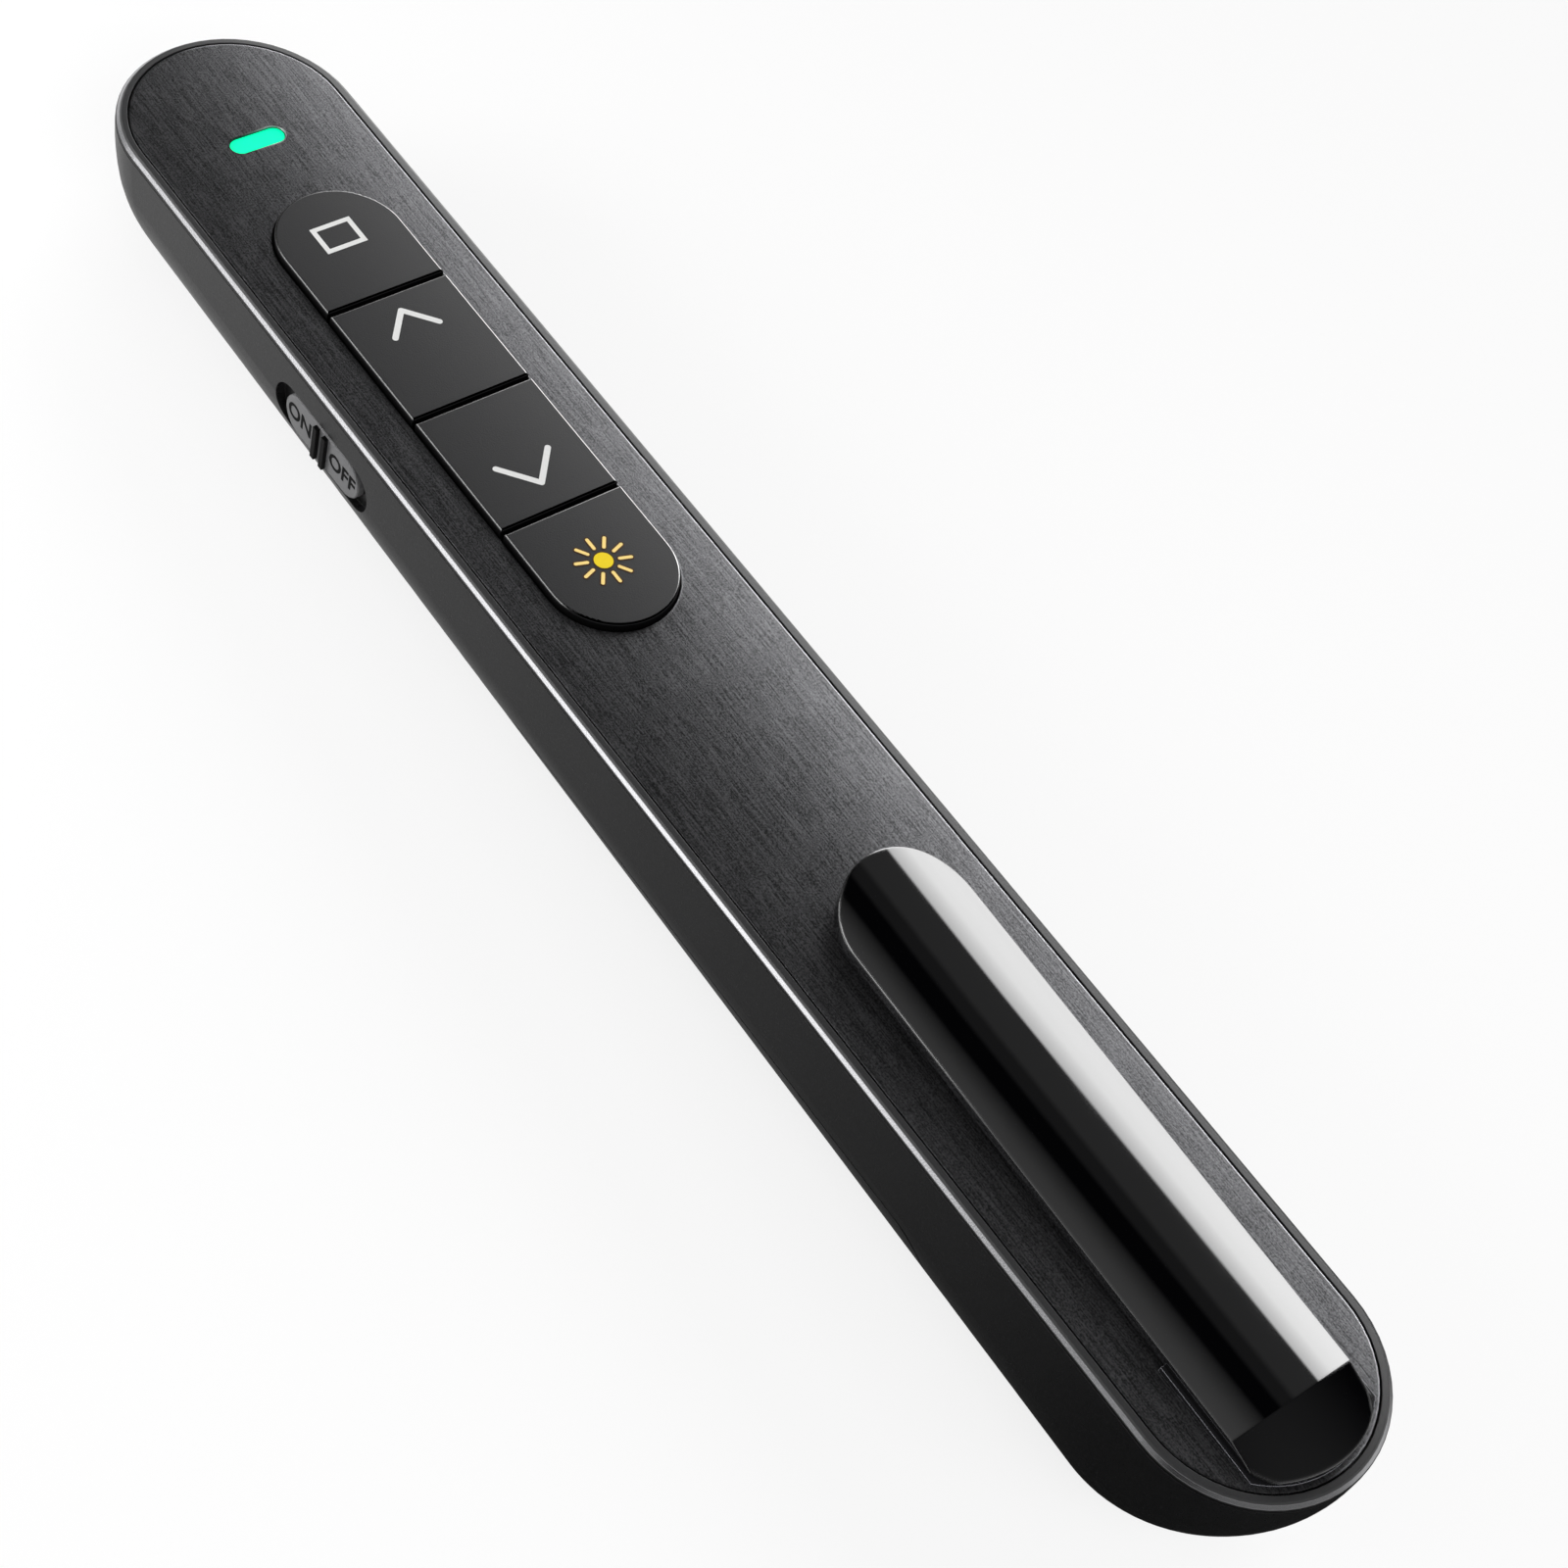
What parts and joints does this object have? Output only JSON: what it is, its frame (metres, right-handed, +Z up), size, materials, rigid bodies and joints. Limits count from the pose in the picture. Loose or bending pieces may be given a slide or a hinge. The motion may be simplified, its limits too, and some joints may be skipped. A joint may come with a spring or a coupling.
{
  "type": "wireless presentation clicker",
  "caption": "Slim rounded slide clicker with an oval key panel, brushed face, side power switch, arched pocket clip, laser nose, battery door and a USB receiver docked in the tail",
  "frame": {"origin": "the middle of the flat back that it rests on, half-way along the body", "axes": "+X across the body to the right as the keys are seen with the laser end up, +Y along the body towards the laser end, +Z up from the flat back; the power switch is on the -X side"},
  "size_m": [0.0204, 0.1478, 0.018],
  "materials": {
    "shell": "satin",
    "frame": "satin",
    "plate": "brushed",
    "led_window": "clear",
    "diode": "gloss",
    "board": "satin",
    "chip": "matte",
    "crystal": "satin",
    "switch_body": "matte",
    "brass": "satin",
    "lens": "clear",
    "diode_can": "satin",
    "laser_window": "clear",
    "cell": "satin",
    "spring": "satin",
    "contact": "satin",
    "screw": "satin",
    "clip_base": "satin",
    "key": "matte",
    "plunger": "matte",
    "slider": "matte",
    "clip": "gloss",
    "door": "satin",
    "cap": "satin",
    "plug": "satin",
    "tongue": "matte",
    "gold": "gloss"
  },
  "bodies": {
    "body": {"rear_shell": "shell", "front_frame": "frame", "face_plate": "plate", "led_window": "led_window", "status_led": "diode", "circuit_board": "board", "control_chip": "chip", "crystal": "crystal", "tact_switches": "switch_body", "slide_switch": "switch_body", "laser_barrel": "brass", "laser_lens": "lens", "laser_diode": "diode_can", "laser_window": "laser_window", "battery": "cell", "battery_spring": "spring", "plus_contact": "contact", "minus_contact": "contact", "case_screws": "screw", "board_screws": "screw", "clip_base": "clip_base", "clip_pin": "screw", "clip_spring": "spring"},
    "screen_key": {"screen_button": "key", "screen_plunger": "plunger"},
    "page_up_key": {"page_up_button": "key", "page_up_plunger": "plunger"},
    "page_down_key": {"page_down_button": "key", "page_down_plunger": "plunger"},
    "laser_key": {"laser_button": "key", "laser_plunger": "plunger"},
    "power_slider": {"on_off_slider": "slider", "switch_lever": "plunger"},
    "clip": {"clip_blade": "clip"},
    "door": {"battery_door": "door"},
    "receiver": {"receiver_cap": "cap", "receiver_plug": "plug", "receiver_tongue": "tongue", "receiver_contacts": "gold", "receiver_board": "board", "receiver_chip": "chip"}
  },
  "joints": [
    {"name": "screen_press", "type": "slide", "parent": "body", "child": "screen_key", "axis": [0, -0.029, -0.9996], "range_m": [0, 0.00035], "stiffness_N_per_m": 1500, "springref_m": -0.0004},
    {"name": "page_up_press", "type": "slide", "parent": "body", "child": "page_up_key", "axis": [0, -0.029, -0.9996], "range_m": [0, 0.00035], "stiffness_N_per_m": 1500, "springref_m": -0.0004},
    {"name": "page_down_press", "type": "slide", "parent": "body", "child": "page_down_key", "axis": [0, -0.029, -0.9996], "range_m": [0, 0.00035], "stiffness_N_per_m": 1500, "springref_m": -0.0004},
    {"name": "laser_press", "type": "slide", "parent": "body", "child": "laser_key", "axis": [0, -0.029, -0.9996], "range_m": [0, 0.00035], "stiffness_N_per_m": 1500, "springref_m": -0.0004},
    {"name": "power_slide", "type": "slide", "parent": "body", "child": "power_slider", "axis": [0, 0.9996, -0.029], "range_m": [-0.0011, 0.0011]},
    {"name": "clip_open", "type": "hinge", "parent": "body", "child": "clip", "pos_m": [0, -0.06582, 0.01655], "axis": [1, 0, 0], "range_deg": [0, 3], "stiffness_Nm_per_rad": 1.5, "springref_deg": -2.86},
    {"name": "door_open", "type": "hinge", "parent": "body", "child": "door", "pos_m": [0, 0.00931, 0], "axis": [1, 0, 0], "range_deg": [0, 60]},
    {"name": "receiver_out", "type": "slide", "parent": "body", "child": "receiver", "axis": [0, -1, 0], "range_m": [0, 0.03]}
  ]
}
